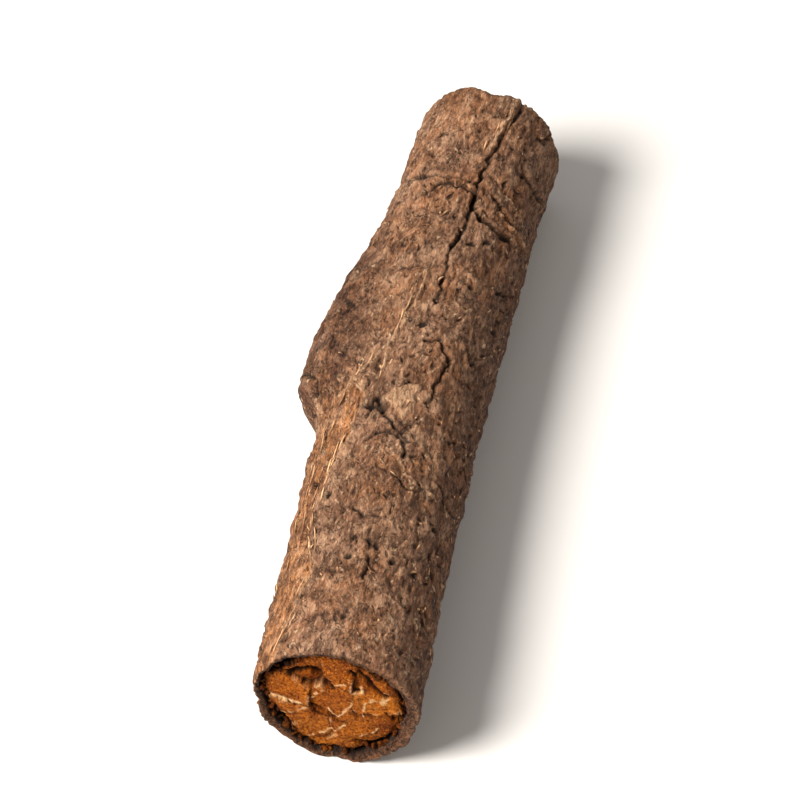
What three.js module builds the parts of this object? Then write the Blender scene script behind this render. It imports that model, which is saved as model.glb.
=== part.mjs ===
// One cut piece of dried turpeth root, lying on its side. Millimetres, +Z up, origin under its middle.
// It runs along +Y: the freshly sawn end faces -Y and the worn end faces +Y.
// An angle goes round the root in degrees, from straight up (0) towards +X (90).
// A share goes along the root, from 0 at the sawn end to 1 at the worn end.
import * as THREE from "three";

const LENGTH = 97;
const SAWN_END_RADIUS = 9.8;
const WORN_END_RADIUS = 9.1;
const MEAN_RADIUS = (SAWN_END_RADIUS + WORN_END_RADIUS) / 2;

// The root bows sideways towards -X, and its ends lift a little off the surface that it rests on.
const BOW = 1.3;
const AXIS_X = 2.3; // puts the middle of the root's outline at X = 0
const END_LIFT = 0.3;
const FLAT_DEPTH = 0.4; // how much of the round belly is worn flat where the root rests

const COLUMNS = 72; // steps round the root, so every 5 degrees
const ROW_STEP = 3; // usual distance between rows of the bark
const FINE_ROW_STEP = 1.3; // the same where cracks cross the root
const FINE_STRETCHES = [
  [0.35, 0.55],
  [0.75, 0.84],
];

// Ribs wind slowly along the root. Broad ones are soft waves. Narrow ones are round, with sharp furrows.
const BROAD_RIBS = [
  { count: 2, height: 0.2, winding: 30, start: 100 },
  { count: 3, height: 0.2, winding: -25, start: 60 },
  { count: 5, height: 0.12, winding: 40, start: 0 },
];
const NARROW_RIBS = [
  { count: 9, height: 0.2, winding: -18, start: 0 },
  { count: 14, height: 0.14, winding: 25, start: 12 },
];
const SMOOTH_SIDE = 11; // the narrow ribs fade towards this angle
const SMOOTH_SIDE_SHARE = 0.35; // and keep this much of their height there

// The stump of a side root rises slowly from the worn end and drops quickly towards the sawn one.
const SWELLING = { angle: -84, share: 0.51, height: 3.8, width: 36, farSpread: 0.21, nearSpread: 0.06 };

// Cracks and ridges of the bark follow paths of [share, angle].
const CRACKS = [
  { name: "long crack", depth: 0.75, width: 0.8, path: [[1, 30], [0.93, 22], [0.86, 15], [0.64, 11]] },
  { name: "ring crack", depth: 0.6, width: 0.8, path: [[0.8, -90], [0.81, -45], [0.81, -10], [0.795, 14]] },
  { name: "slanting crack", depth: 0.5, width: 0.8, path: [[0.795, 14], [0.77, 30], [0.76, 46]] },
  { name: "hooked crack", depth: 0.4, width: 0.8, path: [[0.53, 10], [0.54, 20], [0.515, 30], [0.43, 22]] },
  { name: "arched crack", depth: 0.5, width: 0.8, path: [[0.395, -22], [0.415, -14], [0.36, 16]] },
  { name: "knot hole", depth: 1, width: 1.1, path: [[0.42, -15], [0.412, -12]] },
];
const RIDGES = [
  { name: "lower ridge", height: 0.4, width: 0.8, path: [[0.435, -44], [0.465, -32], [0.5, -22]] },
  { name: "upper ridge", height: 0.35, width: 0.8, path: [[0.475, -18], [0.52, -14], [0.625, -10]] },
  { name: "flake", height: 0.4, width: 1.4, path: [[0.42, -6], [0.425, 4]] },
];

// The outer bark has flaked off along a strip beside the sawn end.
const WORN_STRIP = {
  depth: 0.35,
  halfWidth: 4.2,
  edge: 1,
  path: [[0, -77], [0.06, -67], [0.14, -57], [0.25, -69], [0.35, -56], [0.42, -50]],
};

// The two ends. Each has a rim of bark, then a gap, then the wood, which has split into plates.
// A lump carries the rim further out, and the rim reaches the root's full length at the highest one.
// A split is an angle where the wood has parted, from a share of its radius outwards. The plate of wood
// from there to the next split stands out by its height.
const SAWN_END = {
  facing: -1,
  edgeRadius: 0.35,
  woodSink: 0.45,
  gapDepth: 1.9,
  gapWidth: 0.4,
  gapBulges: [
    { angle: -60, width: 30, height: 0.75 },
    { angle: -145, width: 22, height: 0.7 },
  ],
  barkThickness: 1.25,
  lumps: [
    { angle: 150, width: 70, height: 0.4 },
    { angle: 40, width: 40, height: 0.25 },
  ],
  splits: [
    { angle: -150, from: 0.3, height: 0.2 },
    { angle: -95, from: 0.4, height: -0.15 },
    { angle: -30, from: 0.5, height: 0.25 },
    { angle: 25, from: 0.3, height: -0.05 },
    { angle: 70, from: 0.5, height: 0.35 },
    { angle: 115, from: 0.3, height: -0.25 },
    { angle: 165, from: 0.6, height: 0.1 },
  ],
};
const WORN_END = {
  facing: 1,
  edgeRadius: 1.1,
  woodSink: 0.5,
  gapDepth: 1.5,
  gapWidth: 0.4,
  gapBulges: [
    { angle: 60, width: 35, height: 0.4 },
    { angle: -130, width: 30, height: 0.3 },
  ],
  barkThickness: 1.45,
  lumps: [
    { angle: -30, width: 28, height: 1.7 },
    { angle: 15, width: 14, height: 0.7 },
    { angle: 130, width: 30, height: 0.7 },
    { angle: -130, width: 40, height: 1.1 },
  ],
  splits: [
    { angle: -160, from: 0.4, height: 0.15 },
    { angle: -105, from: 0.3, height: -0.2 },
    { angle: -65, from: 0.6, height: 0.25 },
    { angle: -10, from: 0.3, height: 0 },
    { angle: 45, from: 0.5, height: -0.3 },
    { angle: 95, from: 0.3, height: 0.2 },
    { angle: 140, from: 0.45, height: -0.1 },
  ],
};
const SPLIT_DEPTH = 1;
const SPLIT_WIDTH = 0.4;
const SPLIT_NOTCH = 0.5; // how far the wood's outline dips in at a split
const WOOD_DOME = 0.3; // the wood stands this much higher in its middle
const WOOD_RINGS = [0, 0.22, 0.42, 0.62, 0.82, 1]; // shares of the wood's radius
const GAP_SLOPE = 0.08; // the gap's floor is this much narrower than its mouth, on each side
const RIM_TURNS = [0, 45, 90]; // degrees through the rim's rounded edge

const BARK_COLOUR = 0x7a5a45;
const BARK_ROUGHNESS = 0.88;

const { degToRad, euclideanModulo, lerp, smoothstep } = THREE.MathUtils;
const bell = (distance, spread) => Math.exp(-((distance / spread) ** 2));
const shoulder = (distance, spread) => Math.exp(-(Math.abs(distance / spread) ** 3));
const turn = (from, to) => euclideanModulo(to - from + 180, 360) - 180;
const shareAt = (y) => y / LENGTH + 0.5;

// Distance over the unrolled bark from a place to a path.
function distanceToPath(path, share, angle) {
  const points = path.map(([pathShare, pathAngle]) => {
    const across = MEAN_RADIUS * degToRad(turn(angle, pathAngle));
    return new THREE.Vector3(across, LENGTH * (pathShare - share), 0);
  });
  const here = new THREE.Vector3();
  const nearest = new THREE.Vector3();
  const distances = points.slice(1).map((end, i) => {
    return new THREE.Line3(points[i], end).closestPointToPoint(here, true, nearest).length();
  });
  return Math.min(...distances);
}

function ribHeight(share, angle) {
  const phase = (rib) => degToRad(rib.count * (angle - rib.start - rib.winding * share));
  const wave = (rib) => rib.height * Math.cos(phase(rib));
  const furrow = (rib) => rib.height * (2 * Math.abs(Math.cos(phase(rib) / 2)) - 4 / Math.PI);
  const awayFromSmoothSide = (1 - Math.cos(degToRad(angle - SMOOTH_SIDE))) / 2;
  const total = (heights) => heights.reduce((sum, height) => sum + height, 0);
  const narrow = lerp(SMOOTH_SIDE_SHARE, 1, awayFromSmoothSide) * total(NARROW_RIBS.map(furrow));
  return total(BROAD_RIBS.map(wave)) + narrow;
}

function swellingHeight(share, angle) {
  const along = share - SWELLING.share;
  const spread = along > 0 ? SWELLING.farSpread : SWELLING.nearSpread;
  return SWELLING.height * shoulder(along, spread) * bell(turn(SWELLING.angle, angle), SWELLING.width);
}

function crackDepth(share, angle) {
  const depthOf = ({ depth, width, path }) => depth * bell(distanceToPath(path, share, angle), width);
  return Math.max(...CRACKS.map(depthOf));
}

function ridgeHeight(share, angle) {
  const heightOf = ({ height, width, path }) => height * bell(distanceToPath(path, share, angle), width);
  return Math.max(...RIDGES.map(heightOf));
}

function wornDepth(share, angle) {
  const { depth, halfWidth, edge, path } = WORN_STRIP;
  return depth * (1 - smoothstep(distanceToPath(path, share, angle), halfWidth - edge, halfWidth));
}

// The bark's distance from the root's axis.
function barkRadius(y, angle) {
  const share = shareAt(y);
  const plain = lerp(SAWN_END_RADIUS, WORN_END_RADIUS, share);
  const raised = ribHeight(share, angle) + swellingHeight(share, angle) + ridgeHeight(share, angle);
  return plain + raised - crackDepth(share, angle) - wornDepth(share, angle);
}

function highest(lumps, angle) {
  return Math.max(...lumps.map((lump) => lump.height * bell(turn(lump.angle, angle), lump.width)));
}

// How far from the middle of the root an end's rim of bark stands.
function rimReach(end, angle) {
  const fullReach = Math.max(...end.lumps.map((lump) => lump.height));
  return LENGTH / 2 - fullReach + highest(end.lumps, angle);
}

const rimY = (end, angle) => end.facing * rimReach(end, angle);
const rimRadius = (end, angle) => barkRadius(rimY(end, angle), angle);
const gapOutside = (end, angle) => rimRadius(end, angle) - end.barkThickness;

// How far the wood has parted at a place on an end: 1 in the middle of a split, 0 on a plate.
function parting(end, ring, angle, radius) {
  const partings = end.splits.map((split) => {
    const across = radius * degToRad(turn(split.angle, angle));
    return bell(across, SPLIT_WIDTH) * smoothstep(ring, split.from - 0.15, split.from + 0.25);
  });
  return Math.max(...partings);
}

function woodRadius(end, angle) {
  const gap = end.gapWidth + highest(end.gapBulges, angle);
  return gapOutside(end, angle) - gap - SPLIT_NOTCH * parting(end, 1, angle, MEAN_RADIUS);
}

// The plate of wood at an angle is the one after the last split that the angle has passed.
function plateHeight(end, angle) {
  const passed = end.splits.filter((split) => split.angle <= turn(0, angle));
  return (passed.at(-1) ?? end.splits.at(-1)).height;
}

function woodPoint(end, ring, angle) {
  const radius = ring * woodRadius(end, angle);
  const dome = WOOD_DOME * (1 - ring ** 2);
  const plate = plateHeight(end, angle) * smoothstep(ring, 0.1, 0.5);
  const height = dome + plate - end.woodSink - SPLIT_DEPTH * parting(end, ring, angle, radius);
  const reach = lerp(rimReach(end, end.splits[0].angle), rimReach(end, angle), ring);
  return { radius, y: end.facing * (reach + height) };
}

function rimPoint(end, rimTurn, angle) {
  const fromFace = end.edgeRadius * (1 - Math.cos(degToRad(rimTurn)));
  const fromSide = end.edgeRadius * (1 - Math.sin(degToRad(rimTurn)));
  const y = end.facing * (rimReach(end, angle) - fromFace);
  return { radius: barkRadius(y, angle) - fromSide, y };
}

// An end's rings, from the heart of the wood to the bark's side. Each gives its radius and Y at an angle.
function endRings(end) {
  const gapFloor = (angle) => end.facing * (rimReach(end, angle) - end.gapDepth);
  return [
    ...WOOD_RINGS.map((ring) => (angle) => woodPoint(end, ring, angle)),
    (angle) => ({ radius: woodRadius(end, angle) + GAP_SLOPE, y: gapFloor(angle) }),
    (angle) => ({ radius: gapOutside(end, angle) - GAP_SLOPE, y: gapFloor(angle) }),
    (angle) => ({ radius: gapOutside(end, angle), y: rimY(end, angle) }),
    ...RIM_TURNS.map((rimTurn) => (angle) => rimPoint(end, rimTurn, angle)),
  ];
}

// The bark's rings between the two rims, closer together where a crack crosses the root.
function barkRings() {
  const shares = [];
  const isFine = (share) => FINE_STRETCHES.some(([from, to]) => share >= from && share < to);
  const step = (share) => (isFine(share) ? FINE_ROW_STEP : ROW_STEP) / LENGTH;
  for (let share = step(0); share < 1 - step(1) / 2; share += step(share)) shares.push(share);
  return shares.map((share) => (angle) => {
    const from = rimPoint(SAWN_END, 90, angle).y;
    const to = rimPoint(WORN_END, 90, angle).y;
    const y = lerp(from, to, share);
    return { radius: barkRadius(y, angle), y };
  });
}

// Moves a point of a ring to where it lies once the root bows and rests on its belly.
function lay({ radius, y }, angle) {
  const share = shareAt(y);
  const fromMiddle = 2 * share - 1;
  const axisX = AXIS_X - BOW * (1 - fromMiddle ** 2);
  const axisZ = lerp(SAWN_END_RADIUS, WORN_END_RADIUS, share) - FLAT_DEPTH + END_LIFT * fromMiddle ** 2;
  const x = axisX + radius * Math.sin(degToRad(angle));
  const z = axisZ + radius * Math.cos(degToRad(angle));
  return new THREE.Vector3(x, y, Math.max(z, 0));
}

// A lathe with as many rings of points as the root has, whose points are then moved to the root's surface.
function rootGeometry() {
  const rings = [...endRings(SAWN_END), ...barkRings(), ...endRings(WORN_END).reverse()];
  const onAxis = (i) => i === 0 || i === rings.length - 1;
  const outline = rings.map((ring, i) => new THREE.Vector2(onAxis(i) ? 0 : MEAN_RADIUS, i));
  const geometry = new THREE.LatheGeometry(outline, COLUMNS);
  const position = geometry.getAttribute("position");
  for (let i = 0; i < position.count; i++) {
    const column = Math.floor(i / rings.length) % COLUMNS;
    const angle = (360 * column) / COLUMNS;
    const point = lay(rings[i % rings.length](angle), angle);
    position.setXYZ(i, point.x, point.y, point.z);
  }
  geometry.computeVertexNormals();
  return geometry;
}

const bark = new THREE.MeshStandardMaterial({ color: BARK_COLOUR, roughness: BARK_ROUGHNESS, metalness: 0 });
const root = new THREE.Mesh(rootGeometry(), bark);
root.name = "turpeth_root";

const part = new THREE.Group();
part.add(root);

export default part;
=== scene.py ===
"""One cut piece of dried turpeth root on a pale floor: its bark, its split wood and its torn fibres."""

import math
import random
from types import SimpleNamespace

import bmesh
import bpy
from mathutils import Euler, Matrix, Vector, noise


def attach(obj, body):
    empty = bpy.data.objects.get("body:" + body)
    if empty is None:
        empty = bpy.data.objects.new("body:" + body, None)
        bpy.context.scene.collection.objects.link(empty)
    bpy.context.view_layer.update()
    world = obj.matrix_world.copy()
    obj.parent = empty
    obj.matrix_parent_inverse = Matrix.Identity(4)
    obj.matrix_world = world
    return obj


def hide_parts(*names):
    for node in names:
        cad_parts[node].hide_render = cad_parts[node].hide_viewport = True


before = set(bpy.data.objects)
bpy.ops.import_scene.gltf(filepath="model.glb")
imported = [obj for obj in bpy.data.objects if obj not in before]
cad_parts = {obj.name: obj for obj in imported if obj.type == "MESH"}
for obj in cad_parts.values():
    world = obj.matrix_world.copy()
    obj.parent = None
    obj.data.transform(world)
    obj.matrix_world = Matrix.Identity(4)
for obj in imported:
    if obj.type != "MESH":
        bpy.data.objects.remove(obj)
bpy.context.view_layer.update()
noise.seed_set(5)  # without it, noise_vector differs from run to run

# The form. Millimetres, with Y along the root from the sawn end, at -Y, to the worn end. An angle goes
# round it in degrees from straight up (0) towards +X (90). A share goes along it from 0 to 1.
MM = 0.001
LENGTH = 97.0
SAWN_END_RADIUS = 9.8
WORN_END_RADIUS = 9.1
MEAN_RADIUS = (SAWN_END_RADIUS + WORN_END_RADIUS) / 2
AROUND = math.radians(MEAN_RADIUS)  # millimetres round the bark for each degree
BOW = 1.3  # how far the root bows towards -X
AXIS_X = 2.3
END_LIFT = 0.3  # how far its ends lift off the floor
FLAT_DEPTH = 0.4  # how deep its belly is worn flat

BROAD_RIBS = [(2, 0.2, 30, 100), (3, 0.2, -25, 60), (5, 0.12, 40, 0)]  # count, height, winding, start
NARROW_RIBS = [(9, 0.2, -18, 0), (14, 0.14, 25, 12)]
SMOOTH_SIDE = 11
SMOOTH_SIDE_SHARE = 0.35
SWELLING = {"angle": -84, "share": 0.51, "height": 3.8, "width": 36, "far": 0.21, "near": 0.06}


def clamp(value, low=0.0, high=1.0):
    return max(low, min(high, value))


def lerp(low, high, share):
    return low + (high - low) * share


def smoothstep(value, low, high):
    share = clamp((value - low) / (high - low))
    return share * share * (3 - 2 * share)


def bell(distance, spread):
    return math.exp(-((distance / spread) ** 2))


def shoulder(distance, spread):
    return math.exp(-(abs(distance / spread) ** 3))


def turn(start, end):
    """Degrees from one angle to another, the short way round."""
    return (end - start + 180) % 360 - 180


def distance_to_line(points):
    """Distance from the origin to a line through points."""
    nearest = math.inf
    for (ax, ay), (bx, by) in zip(points, points[1:]):
        dx, dy = bx - ax, by - ay
        along = clamp(-(ax * dx + ay * dy) / (dx * dx + dy * dy))
        nearest = min(nearest, math.hypot(ax + along * dx, ay + along * dy))
    return nearest


def interpolated(points, at):
    """A value at a place, from (place, value) points in order."""
    if at <= points[0][0]:
        return points[0][1]
    for (low, first), (high, second) in zip(points, points[1:]):
        if at <= high:
            return lerp(first, second, (at - low) / (high - low))
    return points[-1][1]


class Trace:
    """A line over the bark through points of (share, angle)."""

    def __init__(self, *points, margin=0.03):
        self.points = points
        self.low = min(share for share, _ in points) - margin
        self.high = max(share for share, _ in points) + margin

    def distance(self, share, angle):
        """Millimetres over the unrolled bark, or infinity where the line is far along the root."""
        if not self.low < share < self.high:
            return math.inf
        start = self.points[0][1]
        turned = turn(angle, start)
        points = [(AROUND * (turned + a - start), LENGTH * (s - share)) for s, a in self.points]
        return distance_to_line(points)


def rib_height(share, angle):
    def phase(count, start, winding):
        return math.radians(count * (angle - start - winding * share))

    def furrowed(count, height, winding, start):
        return height * (2 * abs(math.cos(phase(count, start, winding) / 2)) - 4 / math.pi)

    broad = sum(h * math.cos(phase(n, start, winding)) for n, h, winding, start in BROAD_RIBS)
    narrow = sum(furrowed(*rib) for rib in NARROW_RIBS)
    away = (1 - math.cos(math.radians(angle - SMOOTH_SIDE))) / 2
    return broad + lerp(SMOOTH_SIDE_SHARE, 1, away) * narrow


def swelling_height(share, angle):
    along = share - SWELLING["share"]
    spread = SWELLING["far"] if along > 0 else SWELLING["near"]
    across = bell(turn(SWELLING["angle"], angle), SWELLING["width"])
    return SWELLING["height"] * shoulder(along, spread) * across


def plain_radius(share, angle):
    tapered = lerp(SAWN_END_RADIUS, WORN_END_RADIUS, share)
    return tapered + rib_height(share, angle) + swelling_height(share, angle)


def laid(radius, y, angle):
    """A point of the root, in millimetres, once it bows and rests on its belly."""
    from_middle = 2 * y / LENGTH
    axis_x = AXIS_X - BOW * (1 - from_middle**2)
    tapered = lerp(SAWN_END_RADIUS, WORN_END_RADIUS, y / LENGTH + 0.5)
    axis_z = tapered - FLAT_DEPTH + END_LIFT * from_middle**2
    x = axis_x + radius * math.sin(math.radians(angle))
    z = axis_z + radius * math.cos(math.radians(angle))
    return Vector((x, y, max(z, 0)))


def on_round_root(share, angle, stretch=1.0):
    """Where a place lies on a straight round root, for noise that closes on itself."""
    x, z = math.sin(math.radians(angle)), math.cos(math.radians(angle))
    return Vector((MEAN_RADIUS * x, LENGTH * share * stretch, MEAN_RADIUS * z))


# Cracks and ridges: depth or height, width, and the line.
UNBROKEN_DEPTH = 1  # a crack deeper than this runs on without gaps
CRACK_REACH = 2  # millimetres: nothing of a crack shows further away
CRACKS = [
    (0.4, 0.3, Trace((1, 30), (0.93, 22), (0.87, 15.5))),
    (0.75, 0.36, Trace((0.87, 15.5), (0.8, 13), (0.74, 13), (0.7, 10))),
    (0.35, 0.26, Trace((0.7, 10), (0.68, 9), (0.64, 11), (0.6, 8))),
    (1.1, 0.42, Trace((0.826, -104), (0.836, -72), (0.835, -48), (0.823, -28), (0.82, -14), (0.821, 8))),
    (0.75, 0.34, Trace((0.79, -24), (0.806, -17), (0.81, -8), (0.805, 2), (0.798, 12))),
    (1.1, 0.36, Trace((0.798, 12), (0.774, 16), (0.757, 26), (0.751, 38), (0.757, 54))),
    (0.5, 0.26, Trace((0.53, 10), (0.54, 20), (0.515, 30), (0.465, 28), (0.43, 22))),
    (0.5, 0.28, Trace((0.395, -22), (0.415, -14), (0.385, 2), (0.372, 10), (0.36, 17))),
    (0.45, 0.26, Trace((0.35, -14), (0.37, -6), (0.375, 2), (0.36, 14), (0.335, 17))),
    (1.05, 0.34, Trace((0.866, 47), (0.861, 60), (0.87, 76), (0.888, 96))),
    (0.6, 0.28, Trace((0.8, 28), (0.789, 40), (0.783, 54))),
    (0.4, 0.24, Trace((0.325, 46), (0.31, 56), (0.3, 68), (0.31, 82))),
    (0.35, 0.24, Trace((0.665, 54), (0.69, 78), (0.68, 104))),
    (0.45, 0.26, Trace((0.21, 5), (0.17, 8), (0.155, 8), (0.13, 8))),
    (0.35, 0.24, Trace((0.3, 14), (0.288, 22), (0.292, 34))),
    (0.35, 0.24, Trace((0.24, -10), (0.225, -2), (0.23, 8))),
    (0.3, 0.22, Trace((0.55, 40), (0.53, 50), (0.545, 62))),
    (0.35, 0.24, Trace((0.62, -62), (0.59, -54), (0.56, -60))),
    (0.35, 0.26, Trace((0.5, -76), (0.47, -66), (0.455, -70))),
    (0.5, 0.4, Trace((0.3, 150), (0.42, 158), (0.56, 150), (0.7, 160))),
    (0.5, 0.4, Trace((0.05, -150), (0.2, -142), (0.38, -150))),
    (0.45, 0.4, Trace((0.6, -140), (0.75, -150), (0.95, -143))),
    (0.45, 0.35, Trace((0.12, 110), (0.2, 120), (0.33, 114))),
]
# The knot hole and small round pits: depth, width, and the line or place.
PITS = [
    (1.3, 0.38, Trace((0.43, -16), (0.413, -21), (0.41, -9), (0.43, -16))),
    *(
        (0.5, 0.36, Trace((share, angle), (share + 0.002, angle + 1)))
        for share, angle in [
            (0.71, 22), (0.725, 34), (0.195, -4), (0.185, 12), (0.17, 26), (0.16, -6),
            (0.065, 0), (0.29, -48), (0.265, -34), (0.5, 2), (0.555, 4), (0.64, 33),
            (0.61, 66), (0.25, 55), (0.41, 74), (0.9, -30),
        ]
    ),
]
RIDGES = [
    (0.6, 0.42, Trace((0.435, -44), (0.465, -32), (0.505, -20))),
    (0.4, 0.36, Trace((0.475, -17), (0.52, -16), (0.56, -13), (0.625, -9))),
    (0.26, 0.3, Trace((0.545, -12), (0.6, -6), (0.65, -5))),
    (0.35, 0.5, Trace((0.99, 24), (0.93, 17), (0.88, 12))),
    (0.42, 0.34, Trace((0.784, 34), (0.773, 52), (0.775, 76))),
    (0.3, 0.24, Trace((0.815, 36), (0.803, 56))),
    (0.28, 0.26, Trace((0.335, 14), (0.31, 18), (0.3, 34), (0.296, 54))),
    (0.2, 0.22, Trace((0.13, 12), (0.115, 28), (0.105, 42))),
    (0.3, 0.3, Trace((0.62, 40), (0.6, 32), (0.605, 22))),
]
FLAKE_EDGE = 0.35  # millimetres over which the flake drops to the bark
FLAKE = (0.42, 0.8, Trace((0.428, -5), (0.45, 11), (0.406, 8), (0.428, -5), (0.43, 5)))
WORN_STRIP = Trace((0, -77), (0.06, -67), (0.14, -57), (0.25, -69), (0.35, -56), (0.42, -50), margin=0.06)
WORN_DEPTH = 0.35
WORN_HALF_WIDTH = 4.2
CREASE = Trace((0.74, -62), (0.635, -50), (0.54, -50), (0.44, -58))
CREASE_DEPTH = 0.5
CREASE_WIDTH = 1.2
# Patches of smoother bark, and of other colour: share, angle, spread along and around in millimetres,
# and strength.
CALM_PATCHES = [
    (0.428, 5, 2.4, 1.9, 0.8),
    (0.06, 2, 7, 6.5, 0.75),
    (0.27, 0, 9, 3.5, 0.4),
    (0.9, -30, 7, 4, 0.5),
    (0.6, -24, 10, 3, 0.5),
]
WARM_PATCHES = [
    (0.575, -72, 2.5, 2.2, 0.6),
    (0.47, -62, 2.5, 1.6, 0.6),
    (0.96, -34, 3, 2.5, 0.4),
    (0.9, 70, 4, 2, 0.3),
    (0.775, 58, 0.9, 3.2, 1.0),
]
DARK_PATCHES = [
    (0.615, 25, 1.5, 1.9, 0.8),
    (0.345, 58, 2.2, 1.9, 1.1),
    (0.84, -8, 2.0, 2.6, 0.3),
    (0.17, 8, 2.5, 3, 0.3),
]
# The bark beyond the ring crack is a little thinner: angle and share of the step.
LEDGE = [(-100, 0.822), (-72, 0.832), (-48, 0.831), (-28, 0.819), (8, 0.815)]
LEDGE_HEIGHT = 0.55
LEDGE_FADE = 0.045  # share of the length over which the step fades
LEDGE_RISE = 0.006  # share over which it drops
LEDGE_ANGLE = 12  # it fades out on reaching the long crack

SMOOTHEST_ANGLE = -10  # slivers are fewest here
SLIVER_SHARES = (0.025, 0.975)
SLIVER_COUNT = 760


def scatter(count, seed, describe):
    """Places over the bark, thickest where it is rough, each with what is made there."""
    chance = random.Random(seed)
    made = []
    while len(made) < count:
        share, angle = chance.uniform(*SLIVER_SHARES), chance.uniform(-180, 180)
        rough = 0.4 + 0.6 * smoothstep(abs(turn(SMOOTHEST_ANGLE, angle)), 25, 75)
        if chance.random() < rough:
            made.append({"share": share, "angle": angle, **describe(chance)})
    return made


def sliver(chance):
    """A small lip of torn bark."""
    return {
        "length": chance.choice([0.4, 0.5, 0.7, 0.9, 1.4]) * chance.uniform(0.8, 1.2),
        "width": chance.uniform(0.14, 0.38),
        "heading": math.radians(chance.choice([0, 25, -30, 50, -55, 85]) + chance.uniform(-14, 14)),
        "curve": chance.uniform(-0.9, 0.9),
        "lift": chance.uniform(0.04, 0.16),
        "side": chance.choice([-1, 1]),
        "tint": chance.random() ** 3,
    }


# Long torn fibres: how many, and the line that they lie along, from its lower share to its higher.
FIBRE_LINES = [
    (32, ((0.02, -53), (0.07, -40), (0.13, -33), (0.17, -34), (0.23, -46), (0.3, -41), (0.41, -28))),
    (12, ((0.02, -72), (0.2, -62), (0.4, -55))),
    (5, ((0.43, -46), (0.465, -32), (0.5, -22))),
    (6, ((0.47, -19), (0.52, -14), (0.625, -10))),
    (4, ((0.86, 8), (0.97, 21))),
]


def lay_fibres():
    """Long fibres, each laid roughly along its line."""
    chance = random.Random(8)
    made = []
    for count, line in FIBRE_LINES:
        for _ in range(count):
            share = chance.uniform(line[0][0], line[-1][0])
            before, after = interpolated(line, share - 0.01), interpolated(line, share + 0.01)
            lean = AROUND * (after - before) / (0.02 * LENGTH)
            made.append(
                {
                    "share": share,
                    "angle": interpolated(line, share) + chance.gauss(0, 3),
                    "length": chance.uniform(1.6, 4.5),
                    "width": chance.uniform(0.14, 0.28),
                    "heading": math.atan(lean) + chance.gauss(0, 0.1),
                    "curve": chance.uniform(-0.1, 0.1),
                    "lift": chance.uniform(0.08, 0.3),
                    "tint": chance.uniform(0.5, 1.1),
                }
            )
    return made


slivers = scatter(SLIVER_COUNT, 11, sliver)
PIT_CELL = 3.0  # millimetres: the size of the squares that pits are looked up by
PIT_REACH = 1.6  # millimetres from a sliver to the furthest edge of its pit
PIT_DEPTH = 0.32


def cell_of(share, angle):
    return math.floor(LENGTH * share / PIT_CELL), math.floor((angle % 360) * AROUND / PIT_CELL)


pits_by_cell = {}
for one in slivers:
    row, column = cell_of(one["share"], one["angle"])
    for i in (-1, 0, 1):
        for j in (-1, 0, 1):
            pits_by_cell.setdefault((row + i, column + j), []).append(one)


def pit_beside_slivers(share, angle):
    """Depth of the pits that slivers leave at a place."""
    deepest = 0.0
    for one in pits_by_cell.get(cell_of(share, angle), ()):
        across = AROUND * turn(one["angle"], angle)
        along = LENGTH * (share - one["share"])
        if max(abs(across), abs(along)) > PIT_REACH:
            continue
        c, s = math.cos(one["heading"]), math.sin(one["heading"])
        u, v = along * c + across * s, across * c - along * s
        v -= one["side"] * one["width"] * 1.2
        opened = bell(u, one["length"] * 0.55) * bell(v, one["width"] * 1.1)
        deepest = max(deepest, PIT_DEPTH * opened)
    return deepest


def patches(spots, share, angle):
    """How strongly patches show at a place."""
    return max(
        strength * shoulder(math.hypot(LENGTH * (share - s) / along, AROUND * turn(a, angle) / around), 1)
        for s, a, along, around, strength in spots
    )


class Spot:
    """A place on the bark, and the noise that makes what is drawn there waver and break off."""

    def __init__(self, share, angle):
        self.share, self.angle = share, angle
        self.place = on_round_root(share, angle)
        self.streak = on_round_root(share, angle, 0.3)
        fine, finer = noise.noise_vector(self.place * 0.55), noise.noise_vector(self.place * 1.6)
        self.waver = fine * 0.5 + finer * 0.22
        self.wavered = (share + self.waver.x / LENGTH, angle + self.waver.y / AROUND)
        self.broken = 0.75 + 0.9 * noise.noise(self.place * 0.9 + Vector((0, 31, 0)))
        self.calm = patches(CALM_PATCHES, share, angle)


def rough_height(spot):
    """The bark's own lumps, furrows and wrinkles, which a calm patch has less of."""
    place, streak = spot.place, spot.streak
    lumps = 0.17 * noise.noise(place * 0.8 + Vector((0, 3, 0))) + 0.15 * noise.noise(streak * 1.9)
    furrow = 0.2 * smoothstep(1 - abs(noise.noise(streak * 0.75)) * 2, 0.75, 1)
    wrinkle = 0.11 * (noise.ridged_multi_fractal(streak * 1.5, 0.9, 2.1, 3, 0.9, 2.0) - 1.2)
    broad = 0.3 * noise.noise(place * 0.13 + Vector((7, 0, 0))) + 0.16 * noise.noise(place * 0.35)
    return broad + (1 - spot.calm) * (lumps - furrow + wrinkle)


def cracks_and_pits(spot):
    """What cracks and pits add to the height, and the painted shade in them."""
    height = dirt = 0.0
    for depth, width, trace in CRACKS:
        distance = trace.distance(*spot.wavered)
        if distance < CRACK_REACH:
            unbroken = depth > UNBROKEN_DEPTH
            opened = bell(distance, width * (0.7 + 0.8 * abs(spot.waver.z)))
            opened *= 1 if unbroken else clamp(spot.broken + 0.2, 0.4, 1)
            lip = 0.16 * bell(distance - 2.2 * width, 0.3)
            height += lip - depth * opened
            dirt = max(dirt, smoothstep(opened, 0.08, 0.5) if unbroken else smoothstep(opened, 0.15, 0.7))
    for depth, width, trace in PITS:
        opened = bell(trace.distance(*spot.wavered), width)
        height -= depth * opened
        dirt = max(dirt, smoothstep(opened, 0.15, 0.55))
    return height, dirt


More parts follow.
